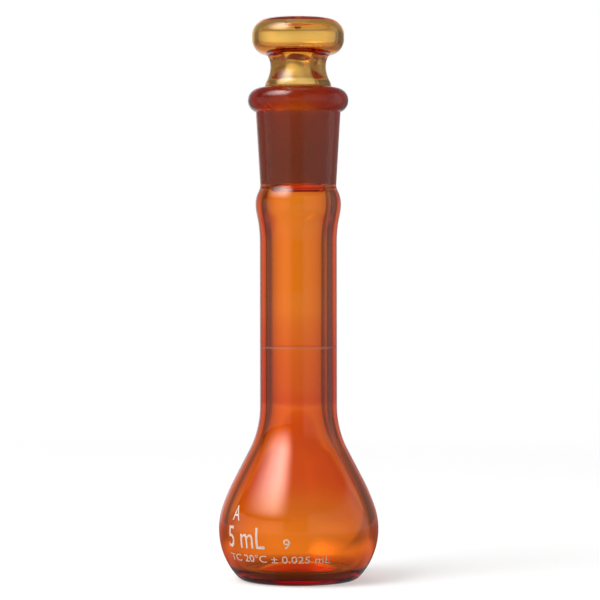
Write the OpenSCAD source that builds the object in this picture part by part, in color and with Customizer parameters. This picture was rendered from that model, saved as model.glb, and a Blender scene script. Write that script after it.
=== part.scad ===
// Volumetric flask with a one-mark neck, a ground socket and a hollow ground stopper.
// Everything is turned about the Z axis. The origin is the centre of the standing circle.
// Each outline below is a list of [radius, height] points, with arcs that run tangent into each other.

/* [Bulb] */
// Outside diameter of the bulb at its widest level
bulb_d = 22.8; // [18:0.1:28]
// Height of the widest level above the table
bulb_z = 7.35; // [6.6:0.05:8.5]
// Radius of the arc that forms the belly of the bulb
belly_r = 10.05; // [9:0.05:11]
// Radius of the rounded heel between belly and standing ring
heel_r = 1.9; // [1:0.1:3]
// Slope of the surface, from vertical, where the belly passes into the shoulder
shoulder_a = 19.5; // [12:0.5:24]
// Radius of the long shoulder arc above the belly
shoulder_r = 30; // [20:1:45]
// Steepest slope of the shoulder, from vertical
cone_a = 27.6; // [24:0.2:32]
// Outside radius of the flare between shoulder and neck
flare_r = 13.6; // [9:0.2:18]
// Wall of the bulb
bulb_wall = 1.2; // [0.9:0.05:1.7]

/* [Base] */
// Wall of the base at the standing ring
base_wall = 1.4; // [1:0.1:2]
// Width of the flat standing ring
stand_w = 0.7; // [0.4:0.1:1.2]
// Height of the pushed-up centre of the base
punt_h = 1.1; // [0.6:0.1:1.6]
// Radius of the rounding between standing ring and pushed-up centre
punt_lip_r = 0.8; // [0.4:0.1:1.2]
// Radius of the corner between the inside wall and the floor
floor_r = 2.6; // [1.6:0.1:3.2]

/* [Neck] */
// Inside diameter of the neck
neck_bore = 7.95; // [6.4:0.05:9.6]
// Wall of the neck
neck_wall = 1.53; // [1:0.05:2]
// Length of the straight neck
neck_len = 23.4; // [16:0.1:32]
// Height of the graduation mark above the foot of the straight neck
mark_h = 8.35; // [3:0.05:13]
// Width of the graduation mark along the neck
mark_w = 0.3; // [0.2:0.05:0.6]
// Depth of the groove that holds the mark
mark_depth = 0.1; // [0.05:0.01:0.2]

/* [Swell under the joint] */
// How far the swell stands out from the neck
swell_out = 0.6; // [0.3:0.05:1]
// Wall of the swell
swell_wall = 1.45; // [1:0.05:1.8]
// Radius of the hollow between neck and swell
swell_foot_r = 17.8; // [12:0.2:24]
// Radius of the lower half of the swell
swell_low_r = 6.7; // [5:0.1:9]
// Radius of the upper half of the swell
swell_top_r = 4.2; // [3:0.1:6]
// Radius of the notch between swell and joint
notch_r = 1.9; // [1:0.1:3]

/* [Ground joint] */
// Inside diameter of the ground socket at the mouth
mouth_d = 9.5; // [8.9:0.1:11.5]
// Length over which the ground cone widens by 1
taper = 10; // [8:1:14]
// Length of the joint from its foot to the top of the mouth
joint_len = 13.8; // [11:0.1:17]
// Wall at the foot of the joint
joint_wall = 1.38; // [1:0.02:1.8]
// Wall of the joint under the bead
joint_top_wall = 1.49; // [1.1:0.01:1.9]
// Radius of the rolled bead's round section
bead_r = 1.8; // [1.2:0.05:2.2]
// How far the bead stands out from the socket's mouth
bead_out = 2.43; // [1.9:0.01:2.9]

/* [Stopper] */
// Clearance between plug and socket, at right angles to the axis
plug_gap = 0.03; // [0.02:0.01:0.08]
// Length of ground plug that stands out of the mouth
plug_proud = 0.25; // [0.1:0.05:1]
// Length of the clear round end under the ground plug
plug_end = 1.4; // [1:0.1:2.4]
// Radius of the plug's lower edge
plug_edge_r = 0.8; // [0.4:0.1:1]
// Wall of the plug
plug_wall = 1.2; // [0.9:0.05:1.6]
// How far the waist is drawn in from the plug
waist_in = 0.77; // [0.4:0.01:1.2]
// Radius of the rounded shoulder above the plug
plug_shoulder_r = 1.3; // [0.6:0.1:2]
// Radius of the waist's lower hollow
waist_low_r = 4.6; // [3:0.1:6]
// Radius of the waist's upper hollow
waist_top_r = 2.6; // [2.4:0.1:4]
// Wall of the waist
waist_wall = 1.45; // [1:0.05:1.6]
// Height from the waist's narrowest level to the underside of the head
head_lift = 1.5; // [1.2:0.05:1.8]
// How far the head stands out past the mouth of the socket
head_out = 1.835; // [1.6:0.005:3]
// Radius of the head's rounded rim
rim_r = 2.3; // [1.8:0.05:2.8]
// Height of the straight band round the head
rim_band = 0.55; // [0.2:0.05:1.5]
// Wall of the head
head_wall = 0.8; // [0.6:0.05:1.1]
// Radius of the fillet under the head
head_fillet_r = 0.3; // [0.1:0.05:0.5]
// Rise of the head's top over its flat centre
dome_h = 0.12; // [0.05:0.01:0.3]
// Radius of the drop of glass where the head was sealed
seal_drop_r = 0.5; // [0.3:0.05:0.7]

/* [Hidden] */

// Largest angle between two neighbouring points of an arc
arc_step = 4;
$fn = 128;

// Points of an arc about c, from angle a0 to angle a1
function arc(c, r, a0, a1) =
    let (n = max(1, ceil(abs(a1 - a0) / arc_step)))
    [for (i = [0:n]) c + r * [cos(a0 + (a1 - a0) * i / n), sin(a0 + (a1 - a0) * i / n)]];

// Angle of the direction from p to q
function towards(p, q) = atan2(q.y - p.y, q.x - p.x);

// The point r1 from c1 and r2 from c2, on the left of the line from c1 to c2
function reach(c1, r1, c2, r2) =
    let (
        span = norm(c2 - c1),
        u = (c2 - c1) / span,
        along = (r1 * r1 - r2 * r2 + span * span) / (2 * span)
    )
    c1 + along * u + sqrt(r1 * r1 - along * along) * [-u.y, u.x];

// Height of an S of two tangent arcs that leads from radius ra to radius rb, where q is the sum of their radii
function ess_h(ra, rb, q) = let (d = abs(rb - ra)) sqrt(d * (2 * q - d));

// That S, upright at both ends, from height z0 up. Its lower arc has radius qa and its upper arc qb
function ess(ra, rb, qa, qb, z0) =
    let (
        h = ess_h(ra, rb, qa + qb),
        t = asin(h / (qa + qb)),
        out = rb > ra,
        low_c = [out ? ra + qa : ra - qa, z0],
        top_c = [out ? rb - qb : rb + qb, z0 + h]
    )
    out ? concat(arc(low_c, qa, 180, 180 - t), arc(top_c, qb, -t, 0))
        : concat(arc(low_c, qa, 0, t), arc(top_c, qb, 180 + t, 180));

// Shallow dome on the axis, raised by rise over level z0, that runs into a corner of radius q at radius r0
function dished(r0, z0, q, rise) =
    let (
        dome = (r0 * r0 + (q - rise) * (q - rise) - q * q) / (2 * rise),
        t = asin(r0 / (dome + q))
    )
    concat(arc([0, z0 + rise - dome], dome, 90, 90 - t), arc([r0, z0 + q], q, -90 - t, -90));

// Bulb

belly_c = [bulb_d / 2 - belly_r, bulb_z];
shoulder_c = belly_c + (belly_r - shoulder_r) * [cos(shoulder_a), sin(shoulder_a)];

// Centre of the heel that touches level z0 and runs into the belly, w inside the outer surface
function heel_c(w, z0, q) =
    let (inward = belly_r - w - q, drop = bulb_z - z0 - q)
    [belly_c.x + sqrt(inward * inward - drop * drop), z0 + q];

// Centre of the flare of radius q that runs up into the radius r, w inside the outer surface
function flare_c(w, r, q) =
    let (
        foot = shoulder_c + (shoulder_r - w) * [cos(cone_a), sin(cone_a)],
        top_r = r + q * (1 - cos(cone_a)),
        top_z = foot.y + (foot.x - top_r) / tan(cone_a)
    )
    [r + q, top_z + q * sin(cone_a)];

// Side of the bulb from level z0 to the foot of the neck, w inside the outer surface
function bulb_side(w, z0, heel, neck, flare) =
    let (hc = heel_c(w, z0, heel), ha = towards(belly_c, hc))
    concat(
        arc(hc, heel, -90, ha),
        arc(belly_c, belly_r - w, ha, shoulder_a),
        arc(shoulder_c, shoulder_r - w, shoulder_a, cone_a),
        arc(flare_c(w, neck, flare), flare, 180 + cone_a, 180)
    );

stand_r = heel_c(0, 0, heel_r).x;

// Neck and joint

bore_r = neck_bore / 2;
neck_r = bore_r + neck_wall;
neck_z = flare_c(0, neck_r, flare_r).y;
swell_foot_z = neck_z + neck_len;
mark_z = neck_z + mark_h;

// The ground cone's radius at a height
function ground_r(z) = mouth_d / 2 - (mouth_z - z) / (2 * taper);

// The cone's radius at the foot of the joint
foot_r = mouth_d / 2 - joint_len / (2 * taper);
swell_r = max(neck_r, foot_r + joint_wall) + swell_out;
swell_z = swell_foot_z + ess_h(neck_r, swell_r, swell_foot_r + swell_low_r);
joint_z = swell_z + ess_h(swell_r, foot_r + joint_wall, swell_top_r + notch_r);
mouth_z = joint_z + joint_len;
bead_c = [mouth_d / 2 + bead_out - bead_r, mouth_z - bead_r];

// The swell on the inside, which ends where the ground cone starts
swell_in_r = swell_r - swell_wall;
swell_in_z = joint_z - ess_h(swell_in_r, foot_r, swell_top_r + notch_r);
swell_in_foot_z = swell_in_z - ess_h(bore_r, swell_in_r, swell_foot_r + swell_low_r);

// Stopper

plug_r = ground_r(mouth_z + plug_proud) - plug_gap;
plug_z = mouth_z + plug_proud;
plug_foot_r = ground_r(joint_z) - plug_gap;
plug_bottom_z = joint_z - plug_end;
waist_r = plug_r - waist_in;
waist_z = plug_z + ess_h(plug_r, waist_r, plug_shoulder_r + waist_low_r);
waist_c = [waist_r + waist_top_r, waist_z];
rim_x = mouth_d / 2 + head_out - rim_r;
rim_low_c = [rim_x, waist_z + head_lift + rim_r];
rim_top_c = rim_low_c + [0, rim_band];
fillet_c = reach(waist_c, waist_top_r - head_fillet_r, rim_low_c, rim_r + head_fillet_r);
top_z = rim_top_c.y + rim_r;

// Radii and levels of the hollow in the stopper
hollow_foot_r = plug_foot_r - plug_wall;
hollow_r = plug_r - plug_wall;
hollow_waist_r = waist_r - waist_wall;
hollow_rim_r = rim_r - head_wall;
hollow_floor_z = rim_low_c.y - hollow_rim_r;
hollow_top_z = rim_top_c.y + hollow_rim_r;
// Radius of the inside edge between the hollow waist and the hollow head
hollow_edge_r = min(waist_wall, rim_x - hollow_waist_r);

// Outline of the flask without its bead, closed on the axis
function flask_outside() = concat(
    dished(stand_r - stand_w, 0, punt_lip_r, punt_h),
    bulb_side(0, 0, heel_r, neck_r, flare_r),
    ess(neck_r, swell_r, swell_foot_r, swell_low_r, swell_foot_z),
    ess(swell_r, foot_r + joint_wall, swell_top_r, notch_r, swell_z),
    [[ground_r(bead_c.y) + joint_top_wall, bead_c.y], [0, bead_c.y]]
);

// Outline of the room inside, which runs past the mouth
function flask_inside() = concat(
    dished(heel_c(bulb_wall, base_wall, floor_r).x, base_wall, floor_r, punt_h),
    bulb_side(bulb_wall, base_wall, floor_r, bore_r, flare_r + neck_wall),
    ess(bore_r, swell_in_r, swell_foot_r, swell_low_r, swell_in_foot_z),
    ess(swell_in_r, foot_r, swell_top_r, notch_r, swell_in_z),
    [[ground_r(mouth_z + 1), mouth_z + 1], [0, mouth_z + 1]]
);

function stopper_outside() = concat(
    [[0, plug_bottom_z]],
    arc([plug_foot_r - plug_edge_r, plug_bottom_z + plug_edge_r], plug_edge_r, -90, 0),
    [[plug_foot_r, joint_z]],
    ess(plug_r, waist_r, plug_shoulder_r, waist_low_r, plug_z),
    arc(waist_c, waist_top_r, 180, towards(waist_c, fillet_c)),
    arc(fillet_c, head_fillet_r, towards(waist_c, fillet_c), towards(fillet_c, rim_low_c)),
    arc(rim_low_c, rim_r, towards(rim_low_c, fillet_c), 0),
    arc(rim_top_c, rim_r, 0, 90),
    [[0, top_z + dome_h]]
);

// Outline of the sealed hollow, with the drop of glass hanging from its top
function stopper_hollow() = concat(
    [[0, plug_bottom_z + plug_wall]],
    arc([hollow_foot_r - plug_edge_r, plug_bottom_z + plug_wall + plug_edge_r], plug_edge_r, -90, 0),
    ess(hollow_r, hollow_waist_r, plug_shoulder_r, waist_low_r, plug_z),
    arc([hollow_waist_r + hollow_edge_r, hollow_floor_z - hollow_edge_r], hollow_edge_r, 180, 90),
    arc(rim_low_c, hollow_rim_r, -90, 0),
    arc(rim_top_c, hollow_rim_r, 0, 90),
    arc([0, hollow_top_z], seal_drop_r, 0, -90)
);

// Blown in one piece: bulb, neck, swell, socket and rolled bead, with the mark's groove cut in the neck
module flask() {
    color([0.72, 0.33, 0.1, 0.6])
    difference() {
        rotate_extrude() difference() {
            union() {
                polygon(flask_outside());
                translate(bead_c) circle(r = bead_r);
            }
            polygon(flask_inside());
        }
        mark_band(neck_r + 1);
    }
}

// Pale enamel line that fills the groove round the neck
module graduation_ring() {
    color([0.85, 0.7, 0.6]) mark_band(neck_r);
}

// Ring from the bottom of the groove out to a radius
module mark_band(r) {
    rotate_extrude() translate([neck_r - mark_depth, mark_z - mark_w / 2])
        square([r - neck_r + mark_depth, mark_w]);
}

// Blown hollow, sealed at the top of the head and ground along the plug
module stopper() {
    color([0.93, 0.7, 0.35, 0.6])
    difference() {
        rotate_extrude() polygon(stopper_outside());
        rotate_extrude() polygon(stopper_hollow());
    }
}

flask();
graduation_ring();
stopper();
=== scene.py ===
import math

import bmesh
import bpy
import numpy as np
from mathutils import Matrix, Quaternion, Vector


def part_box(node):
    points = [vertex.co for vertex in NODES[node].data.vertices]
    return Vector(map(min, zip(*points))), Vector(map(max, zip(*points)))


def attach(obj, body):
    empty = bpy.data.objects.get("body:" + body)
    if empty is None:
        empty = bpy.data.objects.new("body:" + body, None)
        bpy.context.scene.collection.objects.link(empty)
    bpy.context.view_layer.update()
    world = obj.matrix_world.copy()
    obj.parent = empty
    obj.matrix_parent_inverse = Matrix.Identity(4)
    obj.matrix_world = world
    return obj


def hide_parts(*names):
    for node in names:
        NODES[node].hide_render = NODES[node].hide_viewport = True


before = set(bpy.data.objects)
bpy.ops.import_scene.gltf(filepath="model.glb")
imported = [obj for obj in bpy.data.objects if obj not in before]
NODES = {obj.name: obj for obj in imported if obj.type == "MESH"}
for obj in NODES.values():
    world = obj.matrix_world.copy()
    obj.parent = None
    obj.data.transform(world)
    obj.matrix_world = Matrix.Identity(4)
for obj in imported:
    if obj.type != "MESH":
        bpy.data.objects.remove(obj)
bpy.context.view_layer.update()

SCENE = bpy.context.scene
MM = 0.001

# ---------------------------------------------------------------- outlines

SAME = 1e-6  # metres within which two points are one
ON_LINE = 2e-6  # metres within which a point is on the axis or in the cut
SMOOTH_TURN = math.radians(9)  # a sharper turn of the outline is a real edge
STRAIGHT = math.radians(0.25)  # a smaller turn of the outline is none
LONG = 2.5 * MM  # a longer stretch of the outline is straight
CREASE = math.radians(25)  # a sharper fold of the turned mesh is drawn as an edge
SIDES = 192  # flat strips round each turned mesh


def loops(node):
    """The node's outlines in the half plane y = 0, x >= 0: (radius, height) points from the axis back to it.

    Each starts at its lower end. The outside, which starts lowest, comes first, and then the shut-in rooms.
    """
    bm = bmesh.new()
    bm.from_mesh(NODES[node].data)
    bmesh.ops.remove_doubles(bm, verts=bm.verts, dist=SAME)
    here = {v.index for v in bm.verts if abs(v.co.y) < ON_LINE and v.co.x > -ON_LINE}
    near = {i: set() for i in here}
    for e in bm.edges:
        a, b = (v.index for v in e.verts)
        if a in here and b in here:
            near[a].add(b)
            near[b].add(a)
    at = {v.index: (max(v.co.x, 0.0), v.co.z) for v in bm.verts if v.index in here}
    bm.free()
    on_axis = {i for i in here if at[i][0] < ON_LINE}
    ends = [i for i in here if i in on_axis or len(near[i]) == 1]  # a flat end has no point on the axis
    found, used = [], set()
    for start in sorted(ends, key=lambda i: at[i][1]):
        if start in used:
            continue
        path = [start]
        while True:
            barred = on_axis.union(path) if path[-1] in on_axis else set(path)
            steps = [i for i in near[path[-1]] if i not in barred]
            if not steps:
                break
            path.append(steps[0])
            if steps[0] in on_axis:
                break
        used.update(path)
        if len(path) > 3:
            line = [at[i] for i in path]
            first = [] if path[0] in on_axis else [(0.0, line[0][1])]
            last = [] if path[-1] in on_axis else [(0.0, line[-1][1])]
            found.append(first + line + last)
    return found


def smooth(points, step):
    """A denser outline through the same points: arcs become smooth, and edges and straight stretches stay."""
    p = np.array(points, float)
    p = p[[0] + [i for i in range(1, len(p)) if np.linalg.norm(p[i] - p[i - 1]) > SAME]]
    d = np.diff(p, axis=0)
    size = np.linalg.norm(d, axis=1)
    turn = np.abs(d[:-1, 0] * d[1:, 1] - d[:-1, 1] * d[1:, 0]) / size[:-1] / size[1:]
    p = p[[0] + [i + 1 for i, t in enumerate(turn) if t > math.sin(STRAIGHT)] + [len(p) - 1]]
    d = np.diff(p, axis=0)
    size = np.linalg.norm(d, axis=1)
    u = d / size[:, None]
    into, away = np.empty_like(p), np.empty_like(p)
    for i in range(len(p)):
        if i in (0, len(p) - 1):
            end = u[min(i, len(u) - 1)]
            flat = np.array([1.0 if i == 0 else -1.0, 0.0])
            into[i] = away[i] = flat if abs(float(end @ flat)) > math.cos(SMOOTH_TURN) else end
            continue
        a, b = u[i - 1], u[i]
        if float(a @ b) < math.cos(SMOOTH_TURN):
            into[i], away[i] = a, b
        elif size[i - 1] > LONG and size[i - 1] > 2 * size[i]:
            into[i] = away[i] = a
        elif size[i] > LONG and size[i] > 2 * size[i - 1]:
            into[i] = away[i] = b
        else:
            into[i] = away[i] = (a + b) / np.linalg.norm(a + b)
    out = [p[0]]
    for i in range(len(d)):
        n = max(1, math.ceil(size[i] / step))
        for k in range(1, n + 1):
            t = k / n
            h = (2 * t**3 - 3 * t**2 + 1, t**3 - 2 * t**2 + t, -2 * t**3 + 3 * t**2, t**3 - t**2)
            here = h[0] * p[i] + h[1] * away[i] * size[i]
            there = h[2] * p[i + 1] + h[3] * into[i + 1] * size[i]
            out.append(here + there)
    return np.array(out)


def add_object(name, bm):
    """An object with the mesh in bm."""
    mesh = bpy.data.meshes.new(name)
    bm.to_mesh(mesh)
    bm.free()
    obj = bpy.data.objects.new(name, mesh)
    SCENE.collection.objects.link(obj)
    return obj


def lathe(name, outlines, wave=None):
    """A closed mesh of the outlines turned about Z.

    The first outline is the outside, from the bottom up. The others are shut-in rooms, which wave may bend.
    """
    bm = bmesh.new()
    angles = [2 * math.pi * i / SIDES for i in range(SIDES)]
    for number, line in enumerate(outlines):
        line = line if number == 0 else line[::-1]
        rings = []
        for r, z in line:
            if r < SAME / 10:
                rings.append([bm.verts.new((0, 0, z))])
                continue
            ring = []
            for a in angles:
                q = r if wave is None or number == 0 else r + wave(r, z, a)
                ring.append(bm.verts.new((q * math.cos(a), q * math.sin(a), z)))
            rings.append(ring)
        for low, high in zip(rings, rings[1:]):
            for i in range(SIDES):
                j = (i + 1) % SIDES
                corners = [low[i % len(low)], low[j % len(low)], high[j % len(high)], high[i % len(high)]]
                bm.faces.new(list(dict.fromkeys(corners))).smooth = True
    bm.normal_update()
    for e in bm.edges:
        e.smooth = e.calc_face_angle(0) < CREASE
    return add_object(name, bm)


# ---------------------------------------------------------------- materials


class Nodes:
    """Short way to write a tree of nodes."""

    def __init__(self, owner, out="OutputMaterial"):
        owner.use_nodes = True
        self.tree = owner.node_tree
        self.tree.nodes.clear()
        self.out = self.add(out)

    def add(self, kind, **values):
        n = self.tree.nodes.new("ShaderNode" + kind)
        for k, v in values.items():
            setattr(n, k, v)
        return n

    def link(self, a, b):
        self.tree.links.new(a, b)

    def math(self, op, *terms):
        n = self.add("Math", operation=op)
        for i, v in enumerate(terms):
            if isinstance(v, (int, float)):
                n.inputs[i].default_value = v
            else:
                self.link(v, n.inputs[i])
        return n.outputs["Value"]

    def place(self, socket="Object"):
        """The x, y and z of the point, or of the direction in the world."""
        where = self.add("TexCoord")
        split = self.add("SeparateXYZ")
        self.link(where.outputs[socket], split.inputs["Vector"])
        return split.outputs["X"], split.outputs["Y"], split.outputs["Z"]

    def noise(self, scale, detail=2.0, stretch=(1, 1, 1)):
        where = self.add("TexCoord")
        place = self.add("Mapping")
        place.inputs["Scale"].default_value = stretch
        self.link(where.outputs["Object"], place.inputs["Vector"])
        n = self.add("TexNoise")
        n.inputs["Scale"].default_value = scale
        n.inputs["Detail"].default_value = detail
        self.link(place.outputs["Vector"], n.inputs["Vector"])
        return n.outputs["Fac"]

    def ramp(self, source, low, high, to_low, to_high, kind="SMOOTHSTEP"):
        n = self.add("MapRange", interpolation_type=kind)
        for k, v in (("From Min", low), ("From Max", high), ("To Min", to_low), ("To Max", to_high)):
            n.inputs[k].default_value = v
        self.link(source, n.inputs["Value"])
        return n.outputs["Result"]

    def mix(self, share, a, b):
        """The colour a where share is 0 and b where it is 1."""
        n = self.add("MixRGB")
        self.link(share, n.inputs["Fac"])
        for name, v in (("Color1", a), ("Color2", b)):
            if isinstance(v, tuple):
                n.inputs[name].default_value = (*v, 1)
            else:
                self.link(v, n.inputs[name])
        return n.outputs["Color"]

    def bump(self, source, strength, distance):
        n = self.add("Bump")
        n.inputs["Strength"].default_value = strength
        n.inputs["Distance"].default_value = distance
        self.link(source, n.inputs["Height"])
        return n.outputs["Normal"]


def material(name):
    mat = bpy.data.materials.new(name)
    return mat, Nodes(mat)


# ---------------------------------------------------------------- outlines of this flask

flask_lines = loops("flask")
stopper_lines = loops("stopper")
ring_low, ring_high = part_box("graduation_ring")
mark_low, mark_high = ring_low.z, ring_high.z
neck_r = max(ring_high.x, ring_high.y)
GROOVE = (0.02 * MM, 0.2 * MM)  # a point this far inside the neck's surface is in the mark's groove
GROOVE_RIM = 0.01 * MM  # how far the groove may reach beyond the mark's height

TAPER = 0.05  # radius that a standard ground cone gains per height
TAPER_FIT = 0.04 * TAPER  # how far a stretch of the outline may be off that
SOCKET_PART = 0.6  # share of the flask's height above which the socket lies
PLUG_PROUD = 0.25 * MM  # how far the ground part of the plug stands out of the mouth


def in_groove(point):
    """Whether the point of the outline is in the groove that the mark fills."""
    r, z = point
    deep, shallow = neck_r - GROOVE[1], neck_r - GROOVE[0]
    return deep < r < shallow and mark_low - GROOVE_RIM < z < mark_high + GROOVE_RIM


def ground_points(line):
    """The points of the outline on the ground cone, which widens upwards inside the mouth."""
    found = []
    for a, b in zip(line, line[1:]):
        inside = a[1] > b[1] > SOCKET_PART * mouth_z
        if inside and abs((a[0] - b[0]) / (a[1] - b[1]) - TAPER) < TAPER_FIT:
            found += [a, b]
    return found


outline = [p for p in flask_lines[0] if not in_groove(p)]
mouth_z = max(z for r, z in outline)
socket = ground_points(outline)
cone_low, cone_high = min(socket, key=lambda q: q[1]), max(socket, key=lambda q: q[1])
cone_slope = (cone_high[0] - cone_low[0]) / (cone_high[1] - cone_low[1])

# ---------------------------------------------------------------- glass

IOR = 1.474  # of borosilicate glass
AMBER = (0.043, 0.515, 1.61)  # how strongly the flask absorbs red, green and blue light, per millimetre
HONEY = (0.035, 0.24, 0.8)  # the same for the stopper
SHOULDER = (10 * MM, 14.5 * MM, 23.5 * MM, 28 * MM)  # heights of the flask's deeper zone, as in zone_share
SHOULDER_TINT = (0.98, 0.76, 0.9)
HEAD = (mouth_z + 4.08 * MM, mouth_z + 5.18 * MM, mouth_z + 19.8 * MM, mouth_z + 20.8 * MM)  # the stopper's
HEAD_TINT = (1.0, 0.90, 0.62)
FOOT, FOOT_SHADE_TINT = (0.25 * MM, 0.9 * MM), (0.32, 0.8, 0.8)  # painted shade at the foot, as from the dark floor under it; it is gone at the second height
GROUND_FOOT, GROUND_TOP = (0.66, 0.68, 0.76), (0.80, 0.77, 0.82)  # tints of the ground cone at its two ends: the frosted glass's own dimming, with painted shade that is deepest at the foot
BEAD_FOOT, BEAD_MIDDLE = 4.4 * MM, 2.6 * MM  # below the mouth, where the ground glass's dimming and painted shade give way to clear colour
GROUND_DEPTH = 0.12 * MM  # a surface this near the cone is ground
GRAIN, FROSTED = 2600, (0.60, 0.80)  # noise scale per metre and roughness of the ground cone
RIPPLE, RIPPLE_RISE = 170, 0.12 * MM  # noise scale per metre and height of the slight waves of blown glass
RIPPLE_STRETCH = (1, 1, 0.35)  # they are longer up the flask than round it


def ground_share(m):
    """1 on the ground cone of the socket and the plug, and 0 on the clear glass."""
    x, y, z = m.place()
    r = m.math("SQRT", m.math("ADD", m.math("MULTIPLY", x, x), m.math("MULTIPLY", y, y)))
    cone = m.math("MULTIPLY_ADD", z, cone_slope, cone_low[0] - cone_slope * cone_low[1])
    near = m.math("LESS_THAN", m.math("ABSOLUTE", m.math("SUBTRACT", r, cone)), GROUND_DEPTH)
    over = m.math("GREATER_THAN", z, cone_low[1])
    under = m.math("LESS_THAN", z, mouth_z + PLUG_PROUD)
    return m.math("MULTIPLY", near, m.math("MULTIPLY", over, under))


def zone_share(m, z, start, full, fade, end):
    """1 between the heights full and fade, and 0 below start and above end."""
    return m.math("MULTIPLY", m.ramp(z, start, full, 0, 1), m.ramp(z, fade, end, 1, 0))


def glass(name, absorb, zone, zone_tint):
    """Glass that absorbs red, green and blue light as strongly as absorb says, per millimetre.

    It is deeper in colour in one zone of its height, where blown glass gathers, and carries painted shade at
    the foot that the flask stands on. Its ground cone scatters the light and dims it, and painted shade
    deepens it towards the cone's foot.
    """
    mat, m = material(name)
    p = m.add("BsdfPrincipled")
    ground = ground_share(m)
    z = m.place()[2]
    clear = m.mix(zone_share(m, z, *zone), (1, 1, 1), zone_tint)
    # painted shade: the foot of the glass is darkened, as if by the shadow under the flask
    clear = m.mix(m.ramp(z, *FOOT, 1, 0), clear, FOOT_SHADE_TINT)
    # painted shade: the ground cone darkens towards its foot, as the light fades down the joint
    frosted_and_shaded = m.mix(m.ramp(z, cone_low[1], cone_high[1], 0, 1, "LINEAR"), GROUND_FOOT, GROUND_TOP)
    frosted_and_shaded = m.mix(m.ramp(z, mouth_z - BEAD_FOOT, mouth_z - BEAD_MIDDLE, 0, 1), frosted_and_shaded, (1, 1, 1))
    m.link(m.mix(ground, clear, frosted_and_shaded), p.inputs["Base Color"])
    p.inputs["Transmission Weight"].default_value = 1.0
    p.inputs["IOR"].default_value = IOR
    grain = m.ramp(m.noise(GRAIN, 4), 0.3, 0.7, *FROSTED, "LINEAR")
    m.link(m.math("MULTIPLY", ground, grain), p.inputs["Roughness"])
    m.link(m.bump(m.noise(RIPPLE, 1.5, RIPPLE_STRETCH), 0.25, RIPPLE_RISE), p.inputs["Normal"])
    m.link(p.outputs["BSDF"], m.out.inputs["Surface"])
    v = m.add("VolumeAbsorption")
    v.inputs["Color"].default_value = (*[1 - a / max(absorb) for a in absorb], 1)
    v.inputs["Density"].default_value = max(absorb) / MM
    m.link(v.outputs["Volume"], m.out.inputs["Volume"])
    return mat


WAIST, WAIST_REACH = mouth_z + 2.98 * MM, 2.6 * MM  # where the stopper's waist is, and how far its wave goes
PLUG_WAVE, WAIST_WAVE = 0.02 * MM, 0.16 * MM  # height of the wave all over, and what the waist adds
CORE = 2 * MM  # towards the axis the wave dies away from here
FLASK_STEP, STOPPER_STEP = 0.35 * MM, 0.25 * MM  # the longest steps along the outlines


def hollow_wave(r, z, angle):
    """How far the stopper's blown hollow leaves the round, which is most in the waist."""
    near_waist = math.exp(-(((z - WAIST) / WAIST_REACH) ** 2))
    sway = math.sin(3 * angle + 0.9 + 160 * z) + 0.6 * math.sin(5 * angle - 1.1 - 240 * z)
    return min(r / CORE, 1) * (PLUG_WAVE + WAIST_WAVE * near_waist) * sway


flask = lathe("flask_glass", [smooth(outline, FLASK_STEP)])
stopper = lathe("stopper_glass", [smooth(line, STOPPER_STEP) for line in stopper_lines], hollow_wave)
for obj, mat, node, slot in (
    (flask, glass("amber_glass", AMBER, SHOULDER, SHOULDER_TINT), "flask", "amber_glass"),
    (stopper, glass("honey_glass", HONEY, HEAD, HEAD_TINT), "stopper", "light_amber_glass"),
):
    obj.data.materials.append(mat)
    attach(obj, node)
    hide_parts(node)

# ---------------------------------------------------------------- mark and lettering

PROUD = 0.006 * MM  # how far the mark stands out of the neck
MARK_DEPTH = 0.09 * MM
MARK_ROUND = 0.03 * MM  # the mark thins out over this height at its edges
PALE_LINE = (0.92, 0.80, 0.68), (0.98, 0.90, 0.82)
WHITE_ENAMEL = (0.62, 0.48, 0.41), (0.72, 0.59, 0.51)


def pale_line():
    """The half see-through enamel of the mark."""
    mat, m = material("pale_line")
    p = m.add("BsdfPrincipled")
    m.link(m.mix(m.noise(900, 3), *PALE_LINE), p.inputs["Base Color"])
    p.inputs["Roughness"].default_value = 0.12
    p.inputs["Transmission Weight"].default_value = 0.96
    p.inputs["IOR"].default_value = IOR
    m.link(p.outputs["BSDF"], m.out.inputs["Surface"])
    return mat


def white_enamel():
    """The enamel of the lettering."""
    mat, m = material("white_enamel")
    p = m.add("BsdfPrincipled")
    cloud = m.noise(1500, 4)
    m.link(m.mix(cloud, *WHITE_ENAMEL), p.inputs["Base Color"])
    p.inputs["Roughness"].default_value = 0.5
    m.link(m.bump(cloud, 0.3, 0.01 * MM), p.inputs["Normal"])
    m.link(p.outputs["BSDF"], m.out.inputs["Surface"])
    return mat


def closed_ring(name, section):
    """A ring whose cut is section, a closed line of (radius, height) points."""
    bm = bmesh.new()
    rings = []
    for i in range(SIDES):
        a = 2 * math.pi * i / SIDES
        rings.append([bm.verts.new((r * math.cos(a), r * math.sin(a), z)) for r, z in section])
    for i in range(SIDES):
        here, there = rings[i], rings[(i + 1) % SIDES]
        for k in range(len(section)):
            j = (k + 1) % len(section)
            bm.faces.new((here[k], there[k], there[j], here[j]))
    bmesh.ops.recalc_face_normals(bm, faces=bm.faces)
    return add_object(name, bm)


inner_r, proud_r = neck_r - MARK_DEPTH, neck_r + PROUD
lower_half = [(inner_r, mark_low), (neck_r, mark_low), (proud_r, mark_low + MARK_ROUND)]
upper_half = [(proud_r, mark_high - MARK_ROUND), (neck_r, mark_high), (inner_r, mark_high)]
mark = closed_ring("graduation_line", lower_half + upper_half)
mark.data.materials.append(pale_line())
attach(mark, "flask")
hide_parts("graduation_ring")

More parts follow.
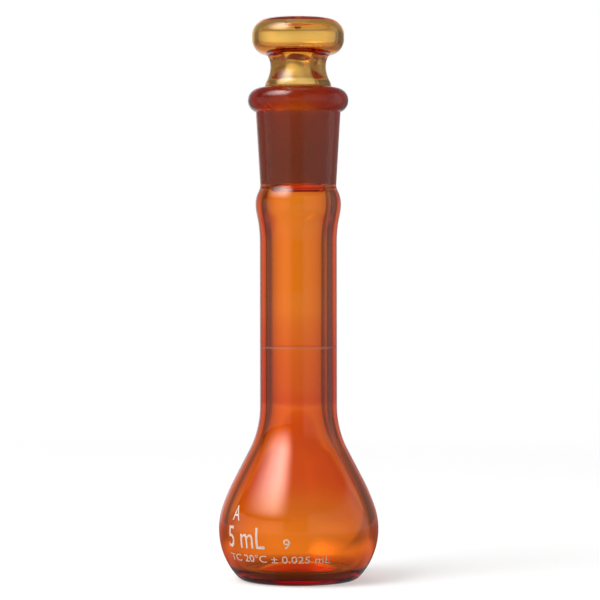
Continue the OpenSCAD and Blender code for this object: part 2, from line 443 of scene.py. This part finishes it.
BULB_STEP = 0.2 * MM  # the longest step along the bulb's outline
BULB_LOW, BULB_HIGH = 0.02 * MM, 16 * MM  # heights between which the lettering may lie
outer = smooth(outline, BULB_STEP)
outer = outer[: next(i for i, (r, z) in enumerate(outer) if z > BULB_HIGH)]
bulb_side = outer[max(i for i, (r, z) in enumerate(outer) if z < BULB_LOW) :]


def bulb_r(z):
    """The bulb's outside radius at a height."""
    return float(np.interp(z, bulb_side[:, 1], bulb_side[:, 0]))


enamel = white_enamel()
ENAMEL_BACK, ENAMEL_FRONT = 0.004 * MM, 0.035 * MM  # how far the enamel's two faces are from the glass
CUTS_ROUND, CUTS_UP = 60, 6  # strips that a line of text is cut into, so that it bends round the bulb
TEXT_GAP = 1e-5  # the share of the text's size within which two of its points are one


def flat_text(text):
    """The filled letters of a line of text in the xy plane, facing up."""
    curve = bpy.data.curves.new("text", "FONT")
    curve.body = text
    curve.resolution_u = 4
    temp = bpy.data.objects.new("text", curve)
    SCENE.collection.objects.link(temp)
    bpy.context.view_layer.update()
    mesh = bpy.data.meshes.new_from_object(temp.evaluated_get(bpy.context.evaluated_depsgraph_get()))
    bpy.data.objects.remove(temp)
    bm = bmesh.new()
    bm.from_mesh(mesh)
    bpy.data.meshes.remove(mesh)
    return bm


def extent(bm, axis):
    """The least and the greatest coordinate on one axis."""
    places = [v.co[axis] for v in bm.verts]
    return min(places), max(places)


def letters(name, text, left, right, low, high):
    """Enamel lettering wrapped round the bulb.

    left and right are degrees round from the front, and low and high are heights in mm.
    """
    bm = flat_text(text)
    (x0, x1), (y0, y1) = extent(bm, 0), extent(bm, 1)
    across, up = Vector((1, 0, 0)), Vector((0, 1, 0))
    for lo, hi, normal, count in ((x0, x1, across, CUTS_ROUND), (y0, y1, up, CUTS_UP)):
        for i in range(1, count):
            at = normal * (lo + (hi - lo) * i / count)
            everything = bm.verts[:] + bm.edges[:] + bm.faces[:]
            bmesh.ops.bisect_plane(bm, geom=everything, plane_co=at, plane_no=normal)
    bmesh.ops.remove_doubles(bm, verts=bm.verts, dist=TEXT_GAP)
    bmesh.ops.recalc_face_normals(bm, faces=bm.faces)
    if sum(f.normal.z * f.calc_area() for f in bm.faces) < 0:
        bmesh.ops.reverse_faces(bm, faces=bm.faces)
    made = bmesh.ops.extrude_face_region(bm, geom=bm.faces[:])
    front = {g for g in made["geom"] if isinstance(g, bmesh.types.BMVert)}
    for v in bm.verts:
        a = math.radians(left + (right - left) * (v.co.x - x0) / (x1 - x0))
        z = (low + (high - low) * (v.co.y - y0) / (y1 - y0)) * MM
        r = bulb_r(z) + (ENAMEL_FRONT if v in front else ENAMEL_BACK)
        v.co = Vector((r * math.sin(a), -r * math.cos(a), z))
    bmesh.ops.recalc_face_normals(bm, faces=bm.faces)
    for f in bm.faces:
        f.smooth = False
        f.material_index = 0
    obj = add_object(name, bm)
    obj.data.materials.append(enamel)
    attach(obj, "flask")


letters("print_capacity", "5 mL", -59.2, -24.8, 5.38, 8.38)
letters("print_class", "A", -55.2, -47.6, 9.18, 11.2)
letters("print_joint_size", "9", -10.9, -6.2, 5.5, 6.95)
letters("print_tolerance", "TC 20°C ± 0.025 mL", -59.7, 24, 3.5, 4.55)

# ---------------------------------------------------------------- stage

PANEL, PANEL_BLUR = 24.5, 2  # degrees from a white panel's middle to its edge, and to each side of that edge
PANEL_TURN = 6.5  # degrees that the panels are turned to the camera's left
WHITE, EDGE = 0.97, 0.54  # how light a panel is in its middle and at its edge
GREY_LEFT, GREY_RIGHT = 0.21, 0.15  # how light the studio is between the panels
SIDE_BLUR = 1e-4  # how sharply one side of the studio turns into the other
TINY = 1e-5  # the least that is divided by
LEFT_CARD, RIGHT_CARD = (-27, -19), (10, 18)  # degrees round from the camera between which a card sets in
BEHIND = (80, 110)  # degrees round from the camera between which the panels take over from the cards
GAP, CARDS = 0.12, 0.55  # what the glass mirrors between the cards, and from them
FLOOR_GAP, FLOOR_CARDS = 0.35, 0.65  # the same on the floor
RIM = 0.3  # the least that the edges of the glass mirror
CEILING, HIGH = 0.2, 0.32  # how light the upper part of the room is, mirrored and through the glass
CEILING_FROM, HIGH_FROM = (0.42, 0.55), (0.13, 0.32)  # where that sets in, as sines of the height angle
AMBIENT, AMBIENT_LEAN = 0.55, 0.3  # light from all round, and how much more of it comes from the left


def blend(m, share, a, b):
    """The number a where share is 0 and b where it is 1."""
    return m.math("ADD", m.math("MULTIPLY", m.math("SUBTRACT", 1.0, share), a), m.math("MULTIPLY", share, b))


def panels(m, x, y):
    """How light the studio is towards x, y: white behind the flask, at its sides and at the front corners."""
    turn = math.radians(PANEL_TURN)
    px = m.math("MULTIPLY_ADD", y, math.sin(turn), m.math("MULTIPLY", x, math.cos(turn)))
    py = m.math("MULTIPLY_ADD", x, -math.sin(turn), m.math("MULTIPLY", y, math.cos(turn)))
    ax, ay = m.math("ABSOLUTE", px), m.math("ABSOLUTE", py)
    ratio = m.math("DIVIDE", m.math("MINIMUM", ax, ay), m.math("MAXIMUM", m.math("MAXIMUM", ax, ay), TINY))
    corner = m.math("DIVIDE", m.math("SUBTRACT", 1.0, ratio), m.math("ADD", 1.0, ratio))
    corner = blend(m, m.math("GREATER_THAN", ax, ay), corner, 0.0)
    ratio = blend(m, m.ramp(py, -SIDE_BLUR, SIDE_BLUR, 0, 1, "LINEAR"), corner, ratio)
    grey = m.ramp(px, -SIDE_BLUR, SIDE_BLUR, GREY_LEFT, GREY_RIGHT, "LINEAR")
    edge_from, edge_to = (math.tan(math.radians(PANEL + blur)) for blur in (-PANEL_BLUR, PANEL_BLUR))
    step = m.ramp(ratio, edge_from, edge_to, 0, 1)
    white = m.ramp(ratio, 0, math.tan(math.radians(PANEL)), WHITE, EDGE, "LINEAR")
    return m.math("MULTIPLY_ADD", step, m.math("SUBTRACT", grey, white), white)


def mirrored(m, x, y, gap, card):
    """What the glass mirrors from x, y: card at the camera's sides, gap between, and the panels behind."""
    side = m.math("ARCTAN2", x, m.math("MULTIPLY", y, -1.0))
    left = m.ramp(side, *map(math.radians, LEFT_CARD), 1, 0)
    right = m.ramp(side, *map(math.radians, RIGHT_CARD), 0, 1)
    front = blend(m, m.math("MAXIMUM", left, right), gap, card)
    back = m.math("MAXIMUM", panels(m, x, y), RIM)
    turned = m.ramp(m.math("ABSOLUTE", side), *map(math.radians, BEHIND), 0, 1)
    return blend(m, turned, front, back)


def stage_mesh(name, corners, faces):
    """A piece of the studio, which isn't part of the flask."""
    mesh = bpy.data.meshes.new(name)
    mesh.from_pydata(corners, [], faces)
    obj = bpy.data.objects.new(name, mesh)
    SCENE.collection.objects.link(obj)
    return obj


# The floor is white where it is seen, with the object's shadow on it. Through the glass it is seen as a table
# with painted light: a painted shadow dark under the flask, painted amber light from the light through it, and
# white farther off. Distances are in metres from the flask's axis, and a pair of them is where a change starts
# and ends.
FLOOR_HALF = 8.0
FLOOR_Z = -0.02 * MM  # just under the flask's foot
TABLE = 0.55  # how light the floor is by itself
LIFT = 0.45  # what is added where the camera sees it, so that it is white outside the shadow
NEAR, FAR = 0.15, 0.35  # beyond this there is no shadow
MIRROR, MIRROR_NEAR = (0.02, 0.25), 0.3  # painted shade: near the flask the mirrored floor is dimmer; where it grows from this share to the whole
REACH = 3.0  # from here the floor is white through the glass too
TONES = (  # the floor's colour through the glass at each distance: a painted shadow near the axis, painted amber light beyond it
    (0.0, (0.12, 0.06, 0.04)),
    (0.0105, (0.16, 0.08, 0.05)),
    (0.0120, (0.62, 0.32, 0.20)),
    (0.018, (0.90, 0.64, 0.48)),
    (0.030, (1.05, 0.74, 0.56)),
    (0.070, (0.98, 0.68, 0.50)),
    (0.130, (0.84, 0.52, 0.42)),
    (0.500, (0.82, 0.48, 0.43)),
    (1.200, (0.90, 0.66, 0.56)),
    (REACH, (1.0, 1.0, 1.0)),
)
PATTERN = (0.020, 0.045)  # the panels show on the floor through the glass from here
PALE, PATTERN_FULL = 0.72, 0.5  # by this share, which grows to the whole from NEAR to this distance
FRONT = 0.4  # painted shade on the floor just in front of the flask, seen through the glass: how light it is beside the floor behind it
FRONT_EDGE, FRONT_END = (-6 * MM, 4 * MM), (0.04, 0.09)  # where that painted shade lies: y, and how far it reaches


def floor_material():
    """The pale floor: its own colour, and a glow that depends on how the floor is seen, with a painted shadow
    and painted light where it is seen through the glass.
    """
    mat, m = material("pale_floor")
    x, y, z = m.place()
    far = m.math("SQRT", m.math("ADD", m.math("MULTIPLY", x, x), m.math("MULTIPLY", y, y)))
    rays = m.add("LightPath").outputs
    diffuse = m.add("BsdfDiffuse")
    outside = m.ramp(far, NEAR, FAR, 0, 1)
    own = m.math("MULTIPLY", m.math("SUBTRACT", 1.0, outside), m.math("SUBTRACT", 1.0, rays["Is Glossy Ray"]))
    m.link(m.math("MULTIPLY", own, TABLE), diffuse.inputs["Color"])
    # painted shadow and painted amber light on the floor, as seen through the glass
    tones = m.add("ValToRGB")
    for i, (at, colour) in enumerate(TONES):
        stop = tones.color_ramp.elements[i] if i < 2 else tones.color_ramp.elements.new(1.0)
        stop.position = at / REACH
        stop.color = (*colour, 1)
    m.link(m.math("DIVIDE", far, REACH), tones.inputs["Fac"])
    lift = m.add("Emission")
    m.link(m.mix(rays["Is Transmission Ray"], (1, 1, 1), tones.outputs["Color"]), lift.inputs["Color"])
    seen = m.math("MULTIPLY", rays["Is Camera Ray"], m.ramp(far, NEAR, FAR, LIFT, 1.0))
    # painted shade: the floor near the flask is mirrored dimmer, as if in the flask's shadow
    shown = m.ramp(far, *MIRROR, MIRROR_NEAR, 1.0)
    shown = m.math("MULTIPLY", mirrored(m, x, y, FLOOR_GAP, FLOOR_CARDS), shown)
    glow = blend(m, rays["Is Glossy Ray"], seen, shown)
    depth = m.math("ADD", m.ramp(far, *PATTERN, 0, PALE), m.ramp(far, NEAR, PATTERN_FULL, 0, 1 - PALE))
    pattern = blend(m, depth, WHITE, panels(m, x, y))
    # painted shade on the floor in front of the flask, seen through the glass
    dim = m.math("MULTIPLY", m.ramp(y, *FRONT_EDGE, 1, 0), m.ramp(far, *FRONT_END, 1, 0))
    through = m.math("MULTIPLY", pattern, blend(m, dim, 1.0, FRONT))
    m.link(blend(m, rays["Is Transmission Ray"], glow, through), lift.inputs["Strength"])
    both = m.add("AddShader")
    m.link(diffuse.outputs["BSDF"], both.inputs[0])
    m.link(lift.outputs["Emission"], both.inputs[1])
    m.link(both.outputs["Shader"], m.out.inputs["Surface"])
    return mat


def studio_world():
    """A world that is white where it is seen.

    The glass shows the panels through it, and mirrors the camera's dark side of the room with its two cards.
    """
    world = bpy.data.worlds.new("studio")
    m = Nodes(world, "OutputWorld")
    x, y, z = m.place("Generated")
    rays = m.add("LightPath").outputs
    mirror = blend(m, m.ramp(z, *CEILING_FROM, 0, 1), mirrored(m, x, y, GAP, CARDS), CEILING)
    through = blend(m, m.ramp(z, *HIGH_FROM, 0, 1), panels(m, x, y), HIGH)
    light = blend(m, rays["Is Glossy Ray"], m.math("MULTIPLY_ADD", x, -AMBIENT_LEAN, AMBIENT), mirror)
    light = blend(m, rays["Is Transmission Ray"], light, through)
    light = blend(m, rays["Is Camera Ray"], light, 1.0)
    sky = m.add("Background")
    sky.inputs["Color"].default_value = (1, 1, 1, 1)
    m.link(light, sky.inputs["Strength"])
    m.link(sky.outputs["Background"], m.out.inputs["Surface"])
    return world


floor_corners = [(x * FLOOR_HALF, y * FLOOR_HALF, FLOOR_Z) for x, y in ((-1, -1), (1, -1), (1, 1), (-1, 1))]
floor = stage_mesh("floor", floor_corners, [(0, 1, 2, 3)])
floor.data.materials.append(floor_material())
SCENE.world = studio_world()

MIDDLE = 40 * MM  # height of the flask's middle, which the lamps face
KEY_DISTANCE, KEY_STRENGTH = 0.7, 10.5
KEY_SIDE = (15, 46, 112)  # degrees from behind the camera to its left: right end, brightest place, left end
KEY_UP = (14, 48, 62)  # degrees up from the floor: low end, where it is at its brightest, and high end
KEY_RIGHT = 0.05  # how bright the key panel's right end is
KEY_STEPS = 24


def key_material():
    """Light that is brightest at one place of the key panel and fades to its sides and its low end."""
    mat, m = material("key_panel")
    x, y, z = m.place()
    side = m.math("ARCTAN2", m.math("MULTIPLY", x, -1.0), m.math("MULTIPLY", y, -1.0))
    right, best, left = map(math.radians, KEY_SIDE)
    rise, fall = m.ramp(side, right, best, KEY_RIGHT, 1), m.ramp(side, best, left, 1, 0)
    low, full = (math.sin(math.radians(a)) for a in KEY_UP[:2])
    climb = m.ramp(m.math("DIVIDE", m.math("SUBTRACT", z, MIDDLE), KEY_DISTANCE), low, full, 0, 1)
    strength = m.math("MULTIPLY", rise, m.math("MULTIPLY", fall, climb))
    glow = m.add("Emission")
    m.link(m.math("MULTIPLY", strength, KEY_STRENGTH), glow.inputs["Strength"])
    m.link(glow.outputs["Emission"], m.out.inputs["Surface"])
    return mat


def key_panel():
    """A bent light panel round the flask at the camera's left."""
    corners, faces = [], []
    for i in range(KEY_STEPS + 1):
        for j in range(KEY_STEPS + 1):
            a = math.radians(KEY_SIDE[0] + (KEY_SIDE[2] - KEY_SIDE[0]) * i / KEY_STEPS)
            e = math.radians(KEY_UP[0] + (KEY_UP[2] - KEY_UP[0]) * j / KEY_STEPS)
            out, up = KEY_DISTANCE * math.cos(e), KEY_DISTANCE * math.sin(e)
            corners.append((-out * math.sin(a), -out * math.cos(a), MIDDLE + up))
    row = KEY_STEPS + 1
    for i in range(KEY_STEPS):
        for j in range(KEY_STEPS):
            k = i * row + j
            faces.append((k, k + 1, k + row + 1, k + row))
    stage_mesh("key_panel", corners, faces).data.materials.append(key_material())


def lamp(name, azimuth, elevation, distance, size, power):
    """A large square lamp. Azimuth 0 is behind the camera and turns to the camera's left."""
    data = bpy.data.lights.new(name, "AREA")
    data.size = size
    data.energy = power
    obj = bpy.data.objects.new(name, data)
    SCENE.collection.objects.link(obj)
    a, e = math.radians(azimuth), math.radians(elevation)
    back = Vector((-math.sin(a) * math.cos(e), -math.cos(a) * math.cos(e), math.sin(e)))
    obj.location = back * distance + Vector((0, 0, MIDDLE))
    obj.rotation_euler = back.to_track_quat("Z", "Y").to_euler()


key_panel()
lamp("fill", azimuth=20, elevation=86, distance=0.9, size=0.5, power=0.6)

# ---------------------------------------------------------------- camera

EYE = Vector((0.00023, -0.3533, 0.0431))
AIM = Vector((0.00023, 0, 0.03996))
ROLL = math.radians(-0.07)  # the flask leans this much in the photo
LENS = 148.4  # millimetres, with a sensor 36 mm wide
cam = bpy.data.cameras.new("camera")
cam.sensor_width = 36
cam.lens = LENS
cam.clip_start, cam.clip_end = 0.02, 20
camera = bpy.data.objects.new("camera", cam)
SCENE.collection.objects.link(camera)
camera.location = EYE
camera.rotation_euler = ((AIM - EYE).to_track_quat("-Z", "Y") @ Quaternion((0, 0, 1), ROLL)).to_euler()
SCENE.camera = camera

SCENE.view_settings.view_transform = "Standard"
SCENE.cycles.max_bounces = 32
SCENE.cycles.transmission_bounces = 32
SCENE.cycles.glossy_bounces = 16
SCENE.cycles.transparent_max_bounces = 16
